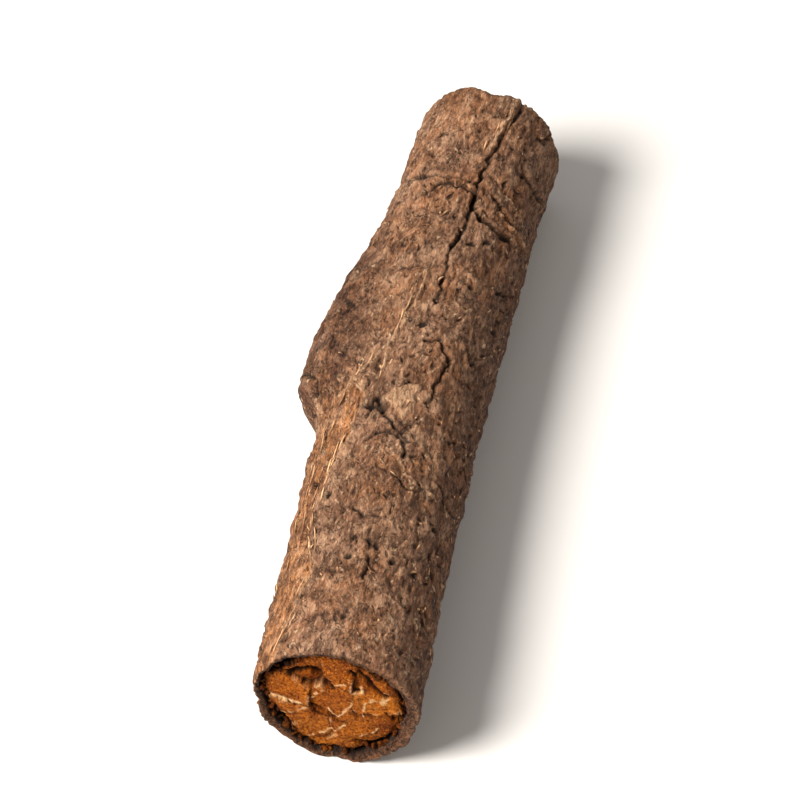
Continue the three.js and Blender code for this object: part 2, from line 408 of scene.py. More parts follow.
def ridges_and_flake(spot):
    """What ridges and the flake add to the height, and how pale they are."""
    height = pale = 0.0
    for rise, width, trace in RIDGES:
        raised = bell(trace.distance(*spot.wavered), width * (0.6 + 0.7 * abs(spot.waver.z)))
        height += rise * raised
        pale = max(pale, smoothstep(raised, 0.4, 1) * clamp(0.3 + spot.broken))
    rise, width, trace = FLAKE
    raised = smoothstep(trace.distance(*spot.wavered), width, width - FLAKE_EDGE)
    return height + rise * raised, max(pale, 0.75 * raised)


def ledge_depth(spot):
    """How much lower the bark is just beyond the ring crack."""
    beyond = spot.share - interpolated(LEDGE, spot.angle) - spot.waver.x / LENGTH * 0.6
    past_long_crack = turn(LEDGE_ANGLE, spot.angle)
    if beyond <= 0 or past_long_crack <= -120:
        return 0.0
    side = 1 - smoothstep(past_long_crack, -8, 14)
    return LEDGE_HEIGHT * math.exp(-beyond / LEDGE_FADE) * smoothstep(beyond, 0, LEDGE_RISE) * side


def worn_strip(spot):
    """What the worn strip adds to the height, how worn it is, and how torn its edge is."""
    distance = WORN_STRIP.distance(*spot.wavered)
    edge = WORN_HALF_WIDTH + 0.7 * noise.noise(spot.place * 0.7) + 0.3 * noise.noise(spot.place * 2.1)
    worn = 1 - smoothstep(distance, edge - 0.6, edge)
    fibres = 0.2 * worn * noise.noise(on_round_root(spot.share, spot.angle, 0.14) * 1.9)
    torn = bell(distance - edge, 0.24) * smoothstep(noise.noise(spot.streak * 0.8), -0.1, 0.35)
    torn *= smoothstep(turn(SWELLING["angle"], spot.angle), 0, 20)
    return fibres + 0.2 * torn - WORN_DEPTH * worn, worn, torn


def shade_at(spot):
    """Painted shade: on the root's sides, in its darker patches and past the swelling's crease."""
    share, angle = spot.share, spot.angle
    shade = max(smoothstep(abs(turn(-14, angle)), 40, 105), patches(DARK_PATCHES, share, angle))
    # Painted light: less shade on the right side towards the worn end.
    if angle > 0:
        shade *= 1 - 0.4 * smoothstep(share, 0.72, 0.86)
    # Past the swelling's crease the bark is painted in mottled shade.
    swollen = smoothstep(swelling_height(share, angle), 0.05, 1.4)
    past_crease = smoothstep(turn(angle, -36), -8, 22) * swollen
    mottled = 0.95 + 0.6 * noise.noise(spot.place * 0.35)
    mottled += 0.9 * noise.noise(spot.streak * 0.9 + Vector((5, 0, 0)))
    shade = max(shade, past_crease * mottled)
    return clamp(shade + 0.3 * spot.waver.x, 0, 1.4)


def bark_at(share, angle):
    """The bark's radius at a place, its painted hollow shade, pale torn fibre and wear, and its painted
    side shade.
    """
    spot = Spot(share, angle)
    opened, dirt = cracks_and_pits(spot)
    raised, pale = ridges_and_flake(spot)
    strip, worn, torn = worn_strip(spot)
    crease = CREASE_DEPTH * bell(CREASE.distance(share, angle), CREASE_WIDTH)
    pit = (1 - 0.5 * worn) * pit_beside_slivers(share, angle)
    height = rough_height(spot) + opened + raised + strip - crease - ledge_depth(spot) - pit
    # Painted shade in the pits that slivers leave beside them.
    dirt = max(dirt, 0.85 * (1 - spot.calm) * smoothstep(pit, 0.08, 0.24))
    worn = max(worn, patches(WARM_PATCHES, share, angle))
    return plain_radius(share, angle) + height, dirt, max(pale, torn), worn, shade_at(spot)


# The two ends. A lump carries the rim of bark further out, and a bulge widens the gap between the bark and
# the wood: angle, width, height. The bark is also thicker at one angle. The wood is sunk behind the rim.
SAWN_END = {
    "facing": -1,
    "share": 0,
    "edge": 0.4,
    "lumps": [(150, 70, 0.4), (40, 40, 0.25)],
    "bark": 0.95,
    "thick": (95, 50, 0.75),
    "gap": 0.26,
    "gap_bulges": [(-50, 18, 1.2), (-120, 24, 1.3), (35, 9, 0.7), (75, 14, 0.5), (150, 22, 0.7)],
    "sink": 0.45,
    "roughness": 0.2,
    # Plates of the split wood: x and z of the middle over the root's radius, height, slope in x and in z.
    "plates": [
        (0.05, 0.62, 0.1, 0.4, -1.2),
        (-0.36, 0.5, -0.5, -1.0, 1.2),
        (-0.54, 0.13, 0.1, 1.4, -0.6),
        (-0.57, -0.27, 0.2, 0.8, 1.6),
        (-0.08, 0.1, 0.3, 1.2, 0.6),
        (-0.3, -0.52, 0.0, -0.8, 1.4),
        (0.24, -0.36, 0.2, -1.2, 0.3),
        (0.5, 0.17, 0.35, -0.6, -1.6),
        (0.58, -0.2, -0.15, -1.6, 1.0),
        (0.44, 0.54, -0.05, 1.5, -0.4),
        (-0.08, -0.82, -0.2, 0.6, 1.6),
        (0.34, -0.66, -0.25, -1.4, 1.2),
    ],
    # Torn pale edges and open slots of the wood: width, and a line over the root's radius.
    "torn": [
        (0.02, [(-0.8, -0.04), (-0.37, -0.04), (-0.27, 0.1), (-0.17, 0.25), (0.17, 0.48)]),
        (0.018, [(-0.73, -0.4), (-0.5, -0.22), (-0.3, -0.07)]),
        (0.018, [(-0.1, -0.07), (0.03, -0.16), (0.13, -0.05), (0.23, 0.15)]),
        (0.05, [(0.42, 0.24), (0.52, 0.12), (0.6, 0.26)]),
        (0.018, [(-0.5, -0.86), (-0.2, -0.6), (0.17, -0.26)]),
        (0.015, [(0.3, 0.4), (0.36, 0.16), (0.33, -0.1)]),
        (0.015, [(0.3, -0.5), (0.5, -0.36)]),
    ],
    "slots": [
        (0.05, [(-0.55, 0.38), (-0.32, 0.5), (-0.1, 0.37)]),
        (0.035, [(-0.3, 0.46), (-0.02, 0.32)]),
        (0.035, [(0.2, 0.64), (0.33, 0.57), (0.6, 0.29)]),
        (0.03, [(0.26, -0.62), (0.4, -0.68)]),
        (0.016, [(-0.3, -0.09), (-0.12, -0.15), (0.15, -0.3)]),
        (0.02, [(0.62, 0.02), (0.7, -0.16)]),
    ],
}
WORN_END = {
    "facing": 1,
    "share": 1,
    "edge": 1.0,
    "lumps": [(-30, 28, 1.7), (15, 14, 0.7), (130, 30, 0.7), (-130, 40, 1.1)],
    "bark": 1.45,
    "thick": (-40, 40, 0.3),
    "gap": 0.3,
    "gap_bulges": [(60, 35, 0.4), (-130, 30, 0.3)],
    "sink": 0.6,
    "roughness": 0.22,
    "plates": [
        (0.12 + r * math.sin(math.radians(a)), -0.08 + r * math.cos(math.radians(a)), h, x, z)
        for a, r, h, x, z in [
            (-136, 0.4, 0.15, 1.2, 0.8),
            (-96, 0.66, -0.3, 1.6, -0.4),
            (-80, 0.3, 0.05, -0.8, 0.6),
            (-38, 0.5, 0.25, 0.8, -1.4),
            (12, 0.62, -0.1, -0.6, 1.6),
            (26, 0.26, 0.3, 0.9, -1.0),
            (66, 0.44, -0.3, -1.6, 0.4),
            (121, 0.38, 0.2, -0.6, -1.2),
            (163, 0.55, -0.15, 0.5, 1.4),
        ]
    ],
    "torn": [
        (0.02, [(0.1, 0.1), (-0.06, 0.4), (-0.12, 0.7)]),
        (0.018, [(0.3, 0.1), (0.45, 0.33), (0.5, 0.6)]),
        (0.018, [(0.0, -0.1), (-0.3, -0.28), (-0.55, -0.3)]),
        (0.04, [(0.36, -0.3), (0.46, -0.38)]),
    ],
    "slots": [
        (0.028, [(0.13, -0.12), (0.16, -0.4), (0.1, -0.85)]),
        (0.022, [(0.02, -0.02), (-0.4, 0.16), (-0.8, 0.2)]),
        (0.03, [(0.3, -0.06), (0.55, -0.02), (0.85, -0.14)]),
        (0.02, [(0.16, 0.2), (0.2, 0.45)]),
    ],
}
RECESS = 2.2  # depth of the floor between the bark and the wood
WOOD_FOOT = 2.6  # depth of the wood's hidden back, just under that floor


def highest(lumps, angle):
    return max(height * bell(turn(middle, angle), width) for middle, width, height in lumps)


def rim_reach(end, angle):
    """How far along Y from the root's middle the rim of bark stands."""
    full = max(height for _, _, height in end["lumps"])
    place = on_round_root(end["share"], angle)
    jagged = end["roughness"] * (noise.noise(place * 1.1) + 0.8 * noise.noise(place * 3.3))
    return LENGTH / 2 - full + highest(end["lumps"], angle) + min(0, jagged) - 0.02


def inner_radius(end, angle):
    """The inside of the bark at an end."""
    middle, width, extra = end["thick"]
    thickness = end["bark"] + extra * bell(turn(middle, angle), width)
    thickness += 0.22 * noise.noise(on_round_root(end["share"], angle) * 0.9)
    return plain_radius(end["share"], angle) - thickness


def wood_edge(end, angle):
    """The outside of the wood at an end."""
    gap = end["gap"] + highest(end["gap_bulges"], angle)
    gap += 0.2 * abs(noise.noise(on_round_root(end["share"], angle) * 1.3 + Vector((0, 9, 0))))
    return inner_radius(end, angle) - gap


def plate_at(end, x, z, at, place):
    """The height of the plate of wood at a place, the painted shade and paleness of its brink, and its
    tone.
    """
    nearest = sorted((math.hypot(at[0] - plate[0], at[1] - plate[1]), plate) for plate in end["plates"])
    (first, plate), (second, beside) = nearest[:2]

    def plate_height(px, pz, height, slope_x, slope_z):
        return height + slope_x * (x - px) + slope_z * (z - pz)

    height, other = plate_height(*plate), plate_height(*beside)
    tone = 0.5 + 0.5 * math.sin(37 * (plate[0] + 2.3 * plate[1]))
    brink = bell(second - first, 0.05)
    frayed = smoothstep(noise.noise(place * 0.9), -0.1, 0.3)
    # Painted shade where this plate meets a higher one; its pale brink where it stands higher is torn fibre
    # and painted highlight.
    painted_shade = 0.95 * brink * smoothstep(other - height, 0, 0.3)
    return height, painted_shade, 0.7 * brink * smoothstep(height - other, 0.1, 0.5) * frayed, tone


def torn_and_open(end, at, place, painted_shade, pale):
    """What torn edges and open slots add to the wood's height, and the painted shade and paleness they
    leave.
    """

    def strength(width, line):
        return bell(distance_to_line([(a - at[0], b - at[1]) for a, b in line]), width)

    height = 0.0
    broken = smoothstep(noise.noise(place * 1.1 + Vector((0, 5, 0))), -0.35, 0.05)
    for width, line in end["torn"]:
        torn = strength(width, line) * broken
        height += 0.1 * torn
        pale = max(pale, smoothstep(torn, 0.2, 0.8))
    for width, line in end["slots"]:
        opened = strength(width, line)
        height -= 1.1 * opened
        # An open slot is painted in shade.
        painted_shade = max(painted_shade, smoothstep(opened, 0.15, 0.5))
        pale *= 1 - smoothstep(opened, 0.1, 0.4)
    return height, painted_shade, pale


def wood_at(end, ring, angle):
    """A point of the split wood: its radius, its Y, its painted shade, how pale it is, and its plate's
    tone.
    """
    radius = ring * wood_edge(end, angle)
    x = radius * math.sin(math.radians(angle)) / SAWN_END_RADIUS  # x and z over the root's radius
    z = radius * math.cos(math.radians(angle)) / SAWN_END_RADIUS
    place = Vector((x, 0.3 * end["facing"], z)) * SAWN_END_RADIUS
    waver = noise.noise_vector(place * 0.8) * 0.03 + noise.noise_vector(place * 2.6) * 0.012
    at = (x + waver.x, z + waver.z)
    plate, painted_shade, pale, tone = plate_at(end, x, z, at, place)
    scored, painted_shade, pale = torn_and_open(end, at, place, painted_shade, pale)
    crumbled = smoothstep(ring, 0.9, 1) * (0.5 + 0.5 * noise.noise(place * 1.7))
    rough = 0.1 * noise.noise(place * 1.4) + 0.07 * noise.noise(place * 4.0)
    height = 1.1 * plate - end["sink"] + rough + scored - 0.5 * crumbled
    # Painted shade on the crumbled, sunken edge by the gap.
    painted_shade = max(painted_shade, 0.8 * crumbled)
    reach = lerp(rim_reach(end, 0), rim_reach(end, angle), ring)
    return radius, end["facing"] * (reach + min(height, -0.03)), painted_shade * (1 - pale), pale, tone


# Making the meshes.
# Marks the bark carries: painted shade in hollows, pale torn fibre, wear, painted side shade, and the sawn
# rim.
BARK_MARKS = ("dirt", "pale", "worn", "shade", "cut")
BARK_COLUMNS = 204
BARK_ROWS = 450
TOP_SHARE = 0.4  # how much closer the columns stand on top than at the sides, and further below
WALL_STEPS = [(1.3, 1), (0.8, 0.95), (0.35, 0.85), (0.08, 0.6)]  # up the bark's inside: depth, and painted shade
RIM_INSETS = (0.94, 0.86, 0.78, 0.7, 0.62, 0.54)  # over the rim from the bark's inside: shares of it
RIM_STEPS = 5  # round the rim's outer edge
# Painted shade over the rim, darker towards the bark's inside.
RIM_PAINTED_SHADE = 0.3
# Marks the wood carries: painted shade, paleness of torn fibre and painted highlight, and its plate's tone.
WOOD_MARKS = ("painted_shade", "pale", "tone")
WOOD_COLUMNS = 216
WOOD_RINGS = 66
WOOD_SIDE_DEPTHS = (1.2, 1.8, WOOD_FOOT)
SLIVER_LIMIT = 135  # slivers further round than this would lie between the root and the floor


def lathe(rings, columns, marks):
    """A closed skin. Each ring turns an angle into a point and its marks. The first and last are points."""
    shape = bmesh.new()
    layers = [shape.verts.layers.float.new(mark) for mark in marks]
    unrolled = shape.verts.layers.float_vector.new("unrolled")
    last = len(rings) - 1
    outline = [shape.verts.new((0, i, 0 if i in (0, last) else 1)) for i in range(last + 1)]
    for pair in zip(outline, outline[1:]):
        shape.edges.new(pair)
    parts = shape.verts[:] + shape.edges[:]
    bmesh.ops.spin(shape, geom=parts, axis=(0, 1, 0), angle=math.tau, steps=columns, use_merge=True)
    poles = [v for v in shape.verts if math.hypot(v.co.x, v.co.z) < 0.5]
    bmesh.ops.remove_doubles(shape, verts=poles, dist=0.01)
    for vertex in shape.verts:
        angle = math.atan2(vertex.co.x, vertex.co.z)
        angle = math.degrees(angle - TOP_SHARE * math.sin(angle))
        point, values = rings[round(vertex.co.y)](angle)
        vertex.co = point
        vertex[unrolled] = (AROUND * angle, point.y, 0)
        for layer, value in zip(layers, values):
            vertex[layer] = value
    bmesh.ops.recalc_face_normals(shape, faces=shape.faces)
    return shape


def finished(name, shape, material):
    """Makes a piece from a bmesh in millimetres, and ties it to the root."""
    bmesh.ops.scale(shape, vec=(MM, MM, MM), verts=shape.verts)
    mesh = bpy.data.meshes.new(name)
    for face in shape.faces:
        face.smooth = True
    shape.to_mesh(mesh)
    shape.free()
    mesh.materials.append(material)
    piece = bpy.data.objects.new(name, mesh)
    bpy.context.scene.collection.objects.link(piece)
    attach(piece, "root")
    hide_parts("turpeth_root")
    return piece


def bark_ring(end, inset, depth, dirt=0.0):
    """A ring of an end's bark: inset from its side, depth behind its rim, and its painted shade."""

    def ring(angle):
        place = on_round_root(end["share"], angle) + Vector((0, 5 * inset, 0))
        crumbled = inset * (0.35 + 0.35 * noise.noise(place * 1.4) + 0.3 * noise.noise(place * 3.6))
        y = end["facing"] * (rim_reach(end, angle) - depth - crumbled)
        radius, painted_shade, pale, worn, shade = bark_at(y / LENGTH + 0.5, angle)
        radius = lerp(radius, inner_radius(end, angle), inset)
        cut = smoothstep(inset, 0.05, 0.4)
        return laid(radius, y, angle), (max(dirt, painted_shade * (1 - cut)), pale, worn * (1 - cut), shade, cut)

    return ring


def recess_ring(end, share):
    """A ring of the floor behind the wood: 0 is its middle and 1 its edge."""

    def ring(angle):
        y = end["facing"] * (rim_reach(end, angle if share else 0) - RECESS)
        # Painted shade: the recess floor is fully shaded.
        return laid(share * inner_radius(end, angle), y, angle), (1, 0, 0, 1, 1)

    return ring


def end_rings(end):
    """An end of the bark, from the middle of its recess to its side."""
    rings = [recess_ring(end, 0), recess_ring(end, 1)]
    rings += [bark_ring(end, 1, depth, dirt) for depth, dirt in WALL_STEPS]
    rings += [bark_ring(end, inset, 0, RIM_PAINTED_SHADE * inset) for inset in RIM_INSETS]
    for i in range(RIM_STEPS + 1):
        bend = math.radians(90 * i / RIM_STEPS)
        inset = end["edge"] * (1 - math.sin(bend)) / end["bark"]
        rings.append(bark_ring(end, inset, end["edge"] * (1 - math.cos(bend))))
    return rings


def side_ring(row):
    """A ring of the bark between the two rims."""

    def ring(angle):
        start = -rim_reach(SAWN_END, angle) + SAWN_END["edge"]
        stop = rim_reach(WORN_END, angle) - WORN_END["edge"]
        y = lerp(start, stop, row / BARK_ROWS)
        radius, *marks = bark_at(y / LENGTH + 0.5, angle)
        return laid(radius, y, angle), (*marks, 0)

    return ring


def bark_shape():
    side = [side_ring(row) for row in range(1, BARK_ROWS)]
    rings = end_rings(SAWN_END) + side + end_rings(WORN_END)[::-1]
    return lathe(rings, BARK_COLUMNS, BARK_MARKS)


def wood_ring(end, share):
    """A ring of the split wood that shows."""

    def ring(angle):
        radius, y, *marks = wood_at(end, share, angle)
        return laid(radius, y, angle), marks

    return ring


def wood_side_ring(end, share, depth):
    """A ring of the wood's side and hidden back, painted in full shade."""

    def ring(angle):
        y = end["facing"] * (rim_reach(end, angle if share else 0) - depth)
        return laid(share * wood_edge(end, angle), y, angle), (1, 0, 0)

    return ring


def wood_shape(end):
    face = [wood_ring(end, i / WOOD_RINGS) for i in range(WOOD_RINGS + 1)]
    side = [wood_side_ring(end, 1, depth) for depth in WOOD_SIDE_DEPTHS]
    return lathe(face + side + [wood_side_ring(end, 0, WOOD_FOOT)], WOOD_COLUMNS, WOOD_MARKS)


def many_balls(count):
    """Small balls, one doubled until there are count of them, and the layer that numbers their points."""
    shape = bmesh.new()
    number = shape.verts.layers.int.new("number")
    bmesh.ops.create_uvsphere(shape, u_segments=6, v_segments=6, radius=0.5)
    made = 1
    while made < count:
        copies = bmesh.ops.duplicate(shape, geom=shape.verts[:] + shape.edges[:] + shape.faces[:])["geom"]
        for part in copies:
            if isinstance(part, bmesh.types.BMVert):
                part[number] += made
        made *= 2
    extra = [vertex for vertex in shape.verts if vertex[number] >= count]
    bmesh.ops.delete(shape, geom=extra, context="VERTS")
    return shape, number


def sliver_frame(one):
    """The middle of a sliver and its directions: along it, across it and out of the bark."""
    middle = laid(bark_at(one["share"], one["angle"])[0], LENGTH * (one["share"] - 0.5), one["angle"])
    turned = math.radians(one["angle"])
    out = Vector((math.sin(turned), 0, math.cos(turned)))
    around = Vector((math.cos(turned), 0, -math.sin(turned)))
    c, s = math.cos(one["heading"]), math.sin(one["heading"])
    forward = Vector((0, 1, 0))
    return middle, forward * c + around * s, around * c - forward * s, out


def sliver_shape(slivers):
    """Every sliver, each a tapered chip whose far end is lifted off the bark."""
    slivers = [one for one in slivers if abs(one["angle"]) < SLIVER_LIMIT]
    frames = [sliver_frame(one) for one in slivers]
    shape, number = many_balls(len(slivers))
    tint = shape.verts.layers.float.new("tint")
    for vertex in shape.verts:
        one = slivers[vertex[number]]
        middle, along, across, out = frames[vertex[number]]
        at = vertex.co.copy()
        lifted = one["lift"] * smoothstep(at.z, -0.4, 0.5) + 0.1 * at.y
        at *= 1 + 0.9 * noise.noise(at * 2.2 + Vector((0, vertex[number], 0)))
        bent = at.x * one["width"] + one["curve"] * at.z**2 * one["length"]
        vertex.co = middle + along * at.z * one["length"] + across * bent + out * lifted
        vertex[tint] = one["tint"] * smoothstep(at.z, -0.5, 0.25)
    bmesh.ops.recalc_face_normals(shape, faces=shape.faces)
    return shape


def crumb_shape(end, count, seed):
    """Crumbs of bark and wood in the gap round the wood of an end."""
    chance = random.Random(seed)
    shape, number = many_balls(count)
    painted_shade = shape.verts.layers.float.new("painted_shade")
    crumbs = []
    for _ in range(count):
        angle = chance.uniform(-180, 180)
        radius = lerp(wood_edge(end, angle), inner_radius(end, angle), chance.uniform(-0.1, 1))
        y = end["facing"] * (rim_reach(end, angle) - chance.uniform(0.5, 1.7))
        size = Vector([chance.uniform(0.2, 0.85) for _ in range(3)])
        tumbled = Euler([chance.uniform(0, math.tau) for _ in range(3)]).to_matrix()
        crumbs.append((laid(radius, y, angle), size, tumbled, chance.uniform(0.4, 1)))
    for vertex in shape.verts:
        middle, size, tumbled, tone = crumbs[vertex[number]]
        at = vertex.co.lerp(vertex.co / (2 * max(abs(c) for c in vertex.co)), 0.75)
        at *= 1 + 0.8 * noise.noise(at * 2.5 + Vector((vertex[number], 0, 0)))
        vertex.co = middle + tumbled @ (at * size)
        # Each crumb is painted in shade by a random amount, as it lies in the gap.
        vertex[painted_shade] = tone
    bmesh.ops.recalc_face_normals(shape, faces=shape.faces)
    return shape


# Materials. Positions are read in millimetres.
def srgb(red, green, blue):
    """A colour given from 0 to 255, as on a screen, turned into amounts of light."""

    def linear(level):
        level /= 255
        return level / 12.92 if level <= 0.04045 else ((level + 0.055) / 1.055) ** 2.4

    return linear(red), linear(green), linear(blue), 1.0


class Value:
    """A number over a surface. Operators on it add the Math nodes that work it out."""

    def __init__(self, finish, socket):
        self.finish, self.socket = finish, socket

    def math(self, operation, *inputs):
        node = self.finish.node("ShaderNodeMath", {"operation": operation}, inputs)
        return Value(self.finish, node.outputs[0])

    def __add__(self, other):
        return self.math("ADD", self, other)

    def __sub__(self, other):
        return self.math("SUBTRACT", self, other)

    def __rsub__(self, other):
        return self.math("SUBTRACT", other, self)

    def __mul__(self, other):
        return self.math("MULTIPLY", self, other)

    __radd__, __rmul__ = __add__, __mul__

    def absolute(self):
        return self.math("ABSOLUTE", self)

    def between(self, low, high):
        """0 at low, 1 at high, and smooth in between."""
        settings = {"interpolation_type": "SMOOTHSTEP"}
        sockets = {"Value": self, "From Min": low, "From Max": high}
        node = self.finish.node("ShaderNodeMapRange", settings, sockets)
        return Value(self.finish, node.outputs["Result"])

    def line(self, width):
        """1 where the value passes a half, and 0 further away than width."""
        return (self - 0.5).absolute().between(width, 0)


class Finish:
    """A material, and the one way in which its nodes are added."""

    def __init__(self, name):
        self.material = bpy.data.materials.new(name)
        self.material.use_nodes = True
        self.tree = self.material.node_tree
        self.shader = self.tree.nodes["Principled BSDF"]

    def node(self, kind, settings=None, sockets=()):
        made = self.tree.nodes.new(kind)
        for name, value in (settings or {}).items():
            setattr(made, name, value)
        for key, value in sockets.items() if isinstance(sockets, dict) else enumerate(sockets):
            self.feed(made.inputs[key], value)
        return made

    def feed(self, socket, value):
        value = value.socket if isinstance(value, Value) else value
        if isinstance(value, bpy.types.NodeSocket):
            self.tree.links.new(value, socket)
        else:
            socket.default_value = value

    def place(self, *stretch, shift=0.0):
        """Object coordinates in millimetres, stretched along each axis."""
        here = self.node("ShaderNodeTexCoord").outputs["Object"]
        scale = tuple(factor / MM for factor in stretch)
        settings = {"vector_type": "POINT"}
        sockets = {"Vector": here, "Scale": scale, "Location": (shift, shift, shift)}
        return self.node("ShaderNodeMapping", settings, sockets).outputs[0]

    def mark(self, name):
        """A value that the mesh carries."""
        return Value(self, self.node("ShaderNodeAttribute", {"attribute_name": name}).outputs["Fac"])

    def noise(self, place, scale, detail=3.0, roughness=0.55, distortion=0.0):
        sockets = {"Vector": place, "Scale": scale, "Detail": detail}
        sockets.update({"Roughness": roughness, "Distortion": distortion})
        return Value(self, self.node("ShaderNodeTexNoise", {}, sockets).outputs["Fac"])

    def slanted(self, degrees, stretch, shift=0.0):
        """Places over the unrolled bark, stretched along a direction that is turned from the root's."""
        spread = self.node("ShaderNodeAttribute", {"attribute_name": "unrolled"}).outputs["Vector"]
        sockets = {"Vector": spread, "Rotation": (0, 0, math.radians(degrees)), "Scale": (1, stretch, 1)}
        sockets["Location"] = (shift, shift, 0)
        return self.node("ShaderNodeMapping", {"vector_type": "TEXTURE"}, sockets).outputs[0]

    def warped(self, place, scale, amount):
        """Places pushed about by noise, so that what is drawn on them wavers."""
        sockets = {"Vector": place, "Scale": scale, "Detail": 2.0}
        push = self.node("ShaderNodeTexNoise", {}, sockets).outputs["Color"]
        sockets = {0: push, 1: (amount, amount, amount), 2: place}
        return self.node("ShaderNodeVectorMath", {"operation": "MULTIPLY_ADD"}, sockets).outputs[0]

    def dots(self, place, scale):
        """The distance to the nearest of scattered dots, and a random number for each dot."""
        sockets = {"Vector": place, "Scale": scale, "Randomness": 1.0}
        node = self.node("ShaderNodeTexVoronoi", {"feature": "F1"}, sockets)
        split = self.node("ShaderNodeSeparateColor", {}, {0: node.outputs["Color"]})
        return Value(self, node.outputs["Distance"]), Value(self, split.outputs[0])

    def patchy(self, shift, scale, detail, low, high):
        """1 in broad patches and 0 between them, to break lines up."""
        return self.noise(self.place(1, 1, 1, shift=shift), scale, detail).between(low, high)

    def specks(self, place, scale, size, fewest, edge):
        """1 in specks round those dots whose number is more than fewest, and larger round the highest."""
        distance, number = self.dots(place, scale)
        return (distance - size * (number - fewest)).between(0.06, edge)

    def mix(self, share, first, second):
        return self.node("ShaderNodeMix", {"data_type": "RGBA"}, {0: share, 6: first, 7: second}).outputs[2]

    def layered(self, colour, *layers):
        """A colour with others laid over it in turn, each as its share and itself."""
        for share, over in layers:
            colour = self.mix(share, colour, over)
        return colour

    def look(self, colour, roughness, height, specular=0.25):
        """The surface's colour, roughness, relief and gloss."""
        self.feed(self.shader.inputs["Base Color"], colour)
        self.feed(self.shader.inputs["Roughness"], roughness)
        self.feed(self.shader.inputs["Specular IOR Level"], specular)
        self.bump(height)
        return self.material

    def bump(self, height):
        """Relief from a height in millimetres."""
        normal = self.node("ShaderNodeBump", {}, {"Height": height, "Distance": MM, "Strength": 1.0})
        self.feed(self.shader.inputs["Normal"], normal.outputs["Normal"])


def bark_patterns(finish):
    """Noises over the bark, each named for what it draws, and the marks that the mesh carries."""
    grain = finish.noise(finish.place(1, 0.35, 1), 2.8, 6, 0.75, 0.3)
    crack = finish.noise(finish.slanted(14, 1.8), 0.5, 4, 0.6, 1.0).line(0.011)
    crease = finish.noise(finish.slanted(-28, 1.6, shift=40), 0.95, 3, 0.6, 1.2).line(0.02)
    scratch = finish.noise(finish.slanted(34, 7, shift=11), 1.6, 3, 0.6, 0.5).line(0.014)
    _, plate = finish.dots(finish.warped(finish.slanted(14, 1.9), 0.6, 2.2), 0.38)
    _, chip = finish.dots(finish.warped(finish.slanted(-24, 1.7, shift=30), 1.3, 1.1), 0.85)
    pitted = finish.warped(finish.slanted(20, 2.6), 2.0, 0.5)
    leaning_left = finish.warped(finish.slanted(38, 3.2), 1.6, 0.5)
    leaning_right = finish.warped(finish.slanted(-33, 3.0, shift=60), 1.6, 0.5)
    # Pale flecks: partly torn fibre, partly painted glints.
    fleck_and_painted_glint = finish.specks(leaning_left, 1.3, 0.52, 0.47, -0.02)
    fleck_and_painted_glint = fleck_and_painted_glint + finish.specks(leaning_right, 1.2, 0.52, 0.5, -0.02)
    return SimpleNamespace(
        blotch=finish.noise(finish.place(1, 1, 1), 0.15, 3),
        mottle=finish.noise(finish.place(1, 0.45, 1), 0.75, 5, 0.6, 0.7),
        grain=grain,
        streak=finish.noise(finish.place(1, 0.12, 1, shift=4), 1.7, 5, 0.7),
        crack=crack * finish.patchy(13, 0.45, 2, 0.5, 0.62),
        crease=crease * finish.patchy(21, 0.6, 2, 0.46, 0.58),
        scratch=scratch * finish.patchy(5, 0.5, 1, 0.52, 0.6),
        plate=plate,
        chip=chip,
        pit=finish.specks(pitted, 1.0, 0.34, 0.35, -0.06),
        fleck_and_painted_glint=fleck_and_painted_glint * grain.between(0.42, 0.56),
        **{name: finish.mark(name) for name in BARK_MARKS},
    )


def bark_colour(finish, on):
    """Brown bark, spots and grain, painted side shade, the sawn rim, fine marks, and painted hollow shade
    over all.
    """
    plain = finish.mix(on.blotch.between(0.42, 0.6), srgb(154, 112, 84), srgb(162, 110, 74))
    worn = finish.mix(on.streak.between(0.36, 0.62), srgb(106, 60, 32), srgb(216, 146, 88))
    cut = finish.mix(on.grain.between(0.4, 0.62), srgb(52, 31, 19), srgb(132, 86, 54))
    torn = finish.mix(on.grain.between(0.35, 0.6), srgb(160, 112, 76), srgb(228, 186, 146))
    return finish.layered(
        plain,
        (on.mottle.between(0.5, 0.34) * 0.85, srgb(84, 56, 39)),
        (on.mottle.between(0.52, 0.66) * 0.6, srgb(196, 154, 122)),
        (on.worn * 0.8, worn),
        (on.plate.between(0.6, 0.1) * 0.35, srgb(92, 62, 44)),
        (on.chip.between(0.5, 0.1) * 0.4, srgb(86, 58, 41)),
        (on.chip.between(0.6, 0.95) * 0.3, srgb(206, 164, 130)),
        (on.grain.between(0.48, 0.37) * 0.75, srgb(62, 39, 27)),
        (on.grain.between(0.54, 0.65) * 0.58, srgb(232, 188, 148)),
        # Painted shade on the root's sides, with its grain drawn darker and lighter within it.
        (on.shade * 0.66, srgb(80, 46, 27)),
        (on.shade * on.grain.between(0.5, 0.38) * 0.8, srgb(30, 17, 10)),
        (on.shade * on.grain.between(0.55, 0.68) * 0.5, srgb(190, 134, 92)),
        (on.cut * 0.85, cut),
        # Fine creases, scratches, cracks and pits are painted darker: painted shade in their grooves.
        (on.crease * 0.75, srgb(50, 32, 22)),
        (on.scratch * 0.65, srgb(48, 31, 22)),
        (on.crack * 0.85, srgb(38, 24, 17)),
        (on.pit * 0.7 * (1 - on.pale), srgb(44, 28, 19)),
        # Pale flecks of torn fibre, partly painted glints.
        (on.fleck_and_painted_glint * 0.8 * (1 - on.cut), srgb(242, 200, 158)),
        (on.pale * 0.8, torn),
        # Painted shade in the hollows: cracks, pits, the recess and the bark's inside.
        (on.dirt * 0.9, srgb(28, 18, 12)),
    )


